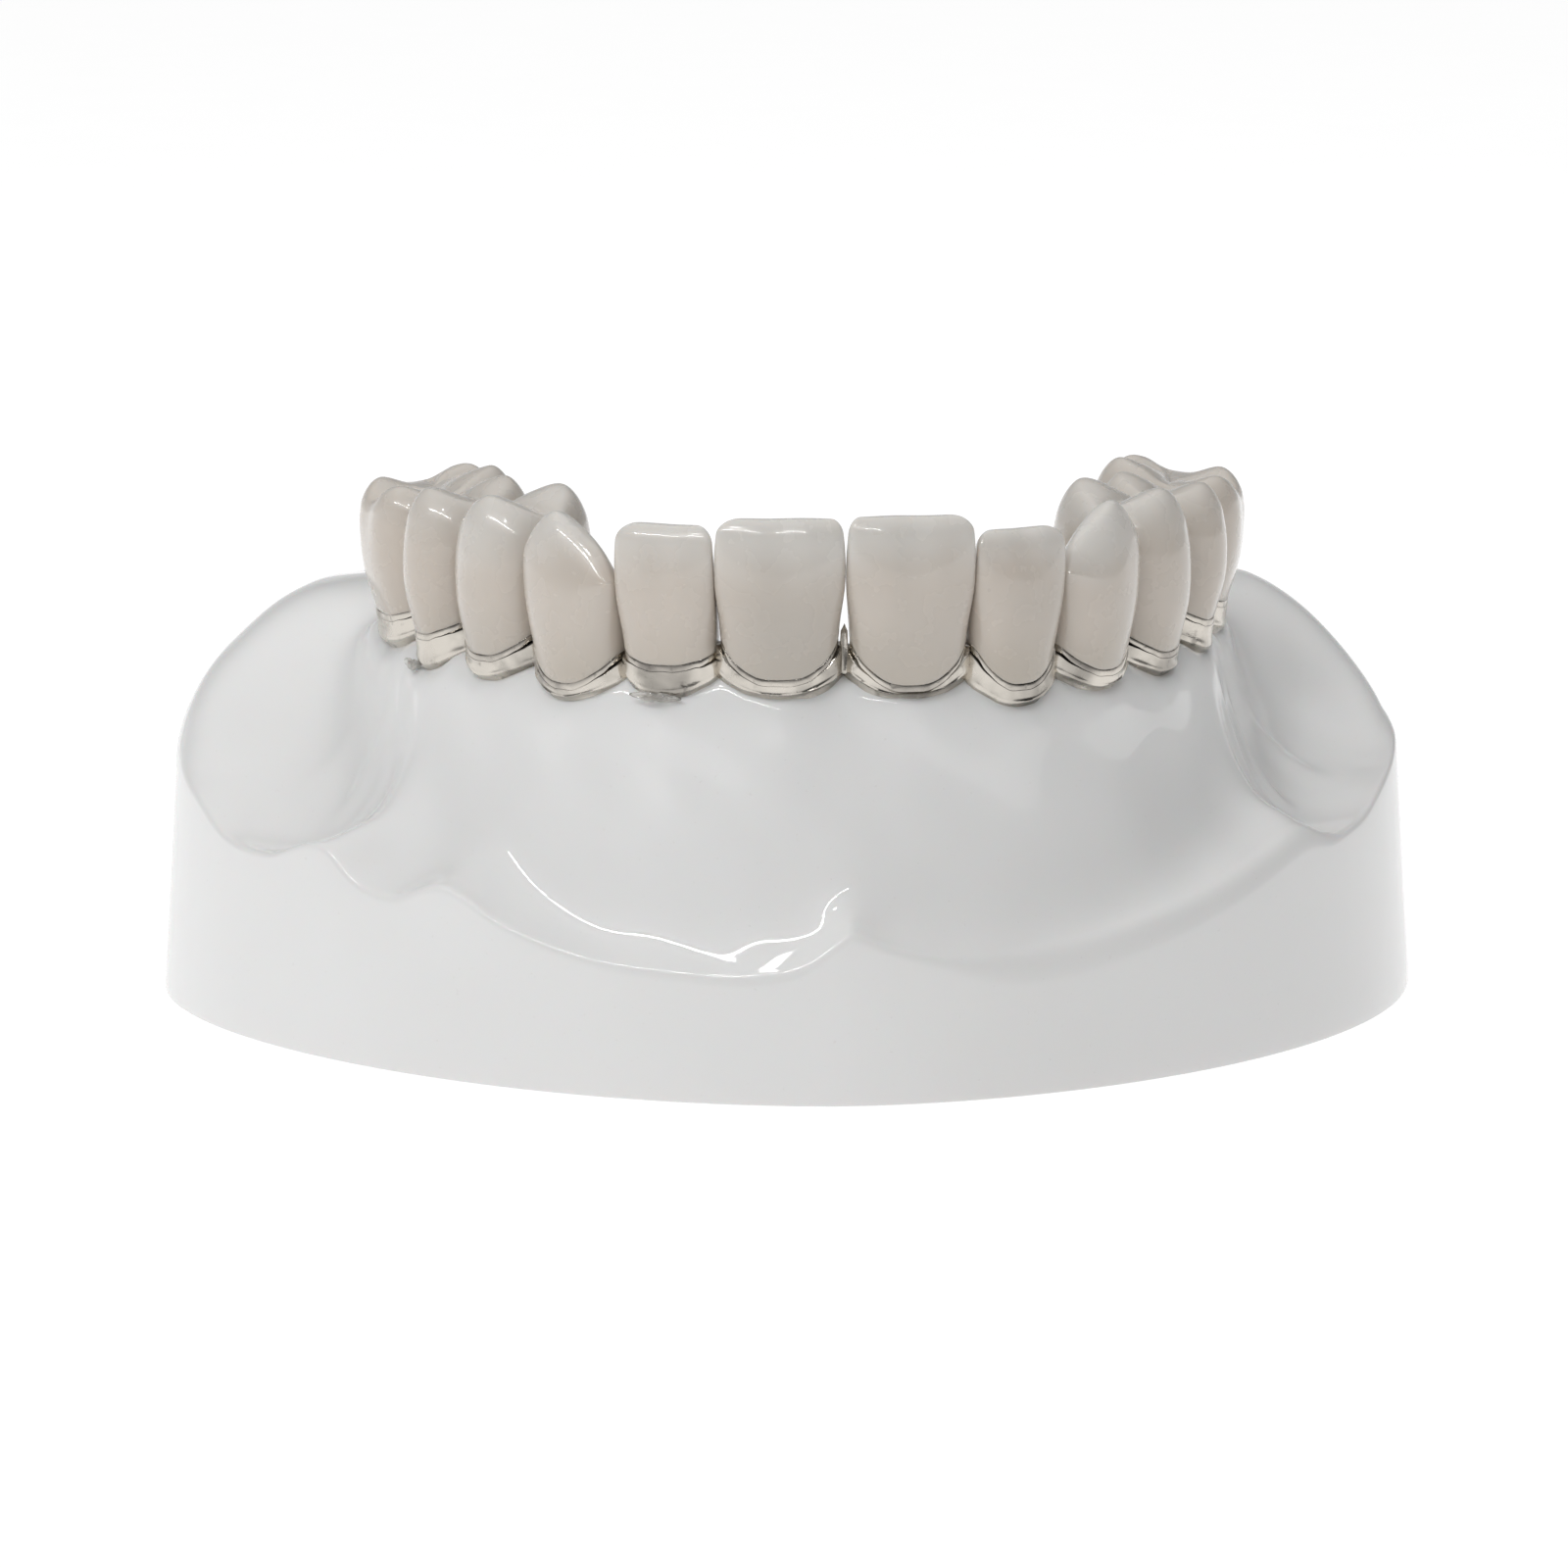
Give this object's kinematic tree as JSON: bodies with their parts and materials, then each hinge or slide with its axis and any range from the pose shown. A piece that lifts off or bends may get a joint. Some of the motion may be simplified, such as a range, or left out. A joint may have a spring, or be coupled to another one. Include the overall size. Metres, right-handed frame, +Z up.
{
  "type": "typodont model",
  "caption": "Upper dental arch model on a flat trimmed base, with metal dies set in the gum ridge and metal-lined porcelain crowns that lift straight off them.",
  "frame": {"origin": "middle of the base's underside: half way across its width and half way from the front of its curved rim to its flat heel", "axes": "+X to the patient's right, which is the viewer's right in the picture; +Y from the incisors towards the heel; +Z up, towards the biting edges of the teeth"},
  "size_m": [0.0852, 0.0576, 0.0369],
  "materials": {
    "white_resin": "smooth glossy white casting",
    "die_alloy": "cast and rubbed, slightly dull",
    "coping_alloy": "polished collar with a dark fired edge",
    "porcelain": "glazed, warm ivory, translucent at the biting edge"
  },
  "bodies": {
    "model": {"model_base": "white_resin", "die_molar_1_left": "die_alloy", "die_premolar_2_left": "die_alloy", "die_premolar_1_left": "die_alloy", "die_canine_left": "die_alloy", "die_lateral_left": "die_alloy", "die_central_left": "die_alloy", "die_central_right": "die_alloy", "die_lateral_right": "die_alloy", "die_canine_right": "die_alloy", "die_premolar_1_right": "die_alloy", "die_premolar_2_right": "die_alloy", "die_molar_1_right": "die_alloy"},
    "crown_molar_1_left": {"porcelain_molar_1_left": "porcelain", "coping_molar_1_left": "coping_alloy"},
    "crown_premolar_2_left": {"porcelain_premolar_2_left": "porcelain", "coping_premolar_2_left": "coping_alloy"},
    "crown_premolar_1_left": {"porcelain_premolar_1_left": "porcelain", "coping_premolar_1_left": "coping_alloy"},
    "crown_canine_left": {"porcelain_canine_left": "porcelain", "coping_canine_left": "coping_alloy"},
    "crown_lateral_left": {"porcelain_lateral_left": "porcelain", "coping_lateral_left": "coping_alloy"},
    "crown_central_left": {"porcelain_central_left": "porcelain", "coping_central_left": "coping_alloy"},
    "crown_central_right": {"porcelain_central_right": "porcelain", "coping_central_right": "coping_alloy"},
    "crown_lateral_right": {"porcelain_lateral_right": "porcelain", "coping_lateral_right": "coping_alloy"},
    "crown_canine_right": {"porcelain_canine_right": "porcelain", "coping_canine_right": "coping_alloy"},
    "crown_premolar_1_right": {"porcelain_premolar_1_right": "porcelain", "coping_premolar_1_right": "coping_alloy"},
    "crown_premolar_2_right": {"porcelain_premolar_2_right": "porcelain", "coping_premolar_2_right": "coping_alloy"},
    "crown_molar_1_right": {"porcelain_molar_1_right": "porcelain", "coping_molar_1_right": "coping_alloy"}
  },
  "joints": [
    {"name": "crown_lift_molar_1_left", "type": "slide", "parent": "model", "child": "crown_molar_1_left", "axis": [0, 0, 1], "range_m": [0, 0.016]},
    {"name": "crown_lift_premolar_2_left", "type": "slide", "parent": "model", "child": "crown_premolar_2_left", "axis": [0, 0, 1], "range_m": [0, 0.016]},
    {"name": "crown_lift_premolar_1_left", "type": "slide", "parent": "model", "child": "crown_premolar_1_left", "axis": [0, 0, 1], "range_m": [0, 0.016]},
    {"name": "crown_lift_canine_left", "type": "slide", "parent": "model", "child": "crown_canine_left", "axis": [0, 0, 1], "range_m": [0, 0.016]},
    {"name": "crown_lift_lateral_left", "type": "slide", "parent": "model", "child": "crown_lateral_left", "axis": [0, 0, 1], "range_m": [0, 0.016]},
    {"name": "crown_lift_central_left", "type": "slide", "parent": "model", "child": "crown_central_left", "axis": [0, 0, 1], "range_m": [0, 0.016]},
    {"name": "crown_lift_central_right", "type": "slide", "parent": "model", "child": "crown_central_right", "axis": [0, 0, 1], "range_m": [0, 0.016]},
    {"name": "crown_lift_lateral_right", "type": "slide", "parent": "model", "child": "crown_lateral_right", "axis": [0, 0, 1], "range_m": [0, 0.016]},
    {"name": "crown_lift_canine_right", "type": "slide", "parent": "model", "child": "crown_canine_right", "axis": [0, 0, 1], "range_m": [0, 0.016]},
    {"name": "crown_lift_premolar_1_right", "type": "slide", "parent": "model", "child": "crown_premolar_1_right", "axis": [0, 0, 1], "range_m": [0, 0.016]},
    {"name": "crown_lift_premolar_2_right", "type": "slide", "parent": "model", "child": "crown_premolar_2_right", "axis": [0, 0, 1], "range_m": [0, 0.016]},
    {"name": "crown_lift_molar_1_right", "type": "slide", "parent": "model", "child": "crown_molar_1_right", "axis": [0, 0, 1], "range_m": [0, 0.016]}
  ]
}
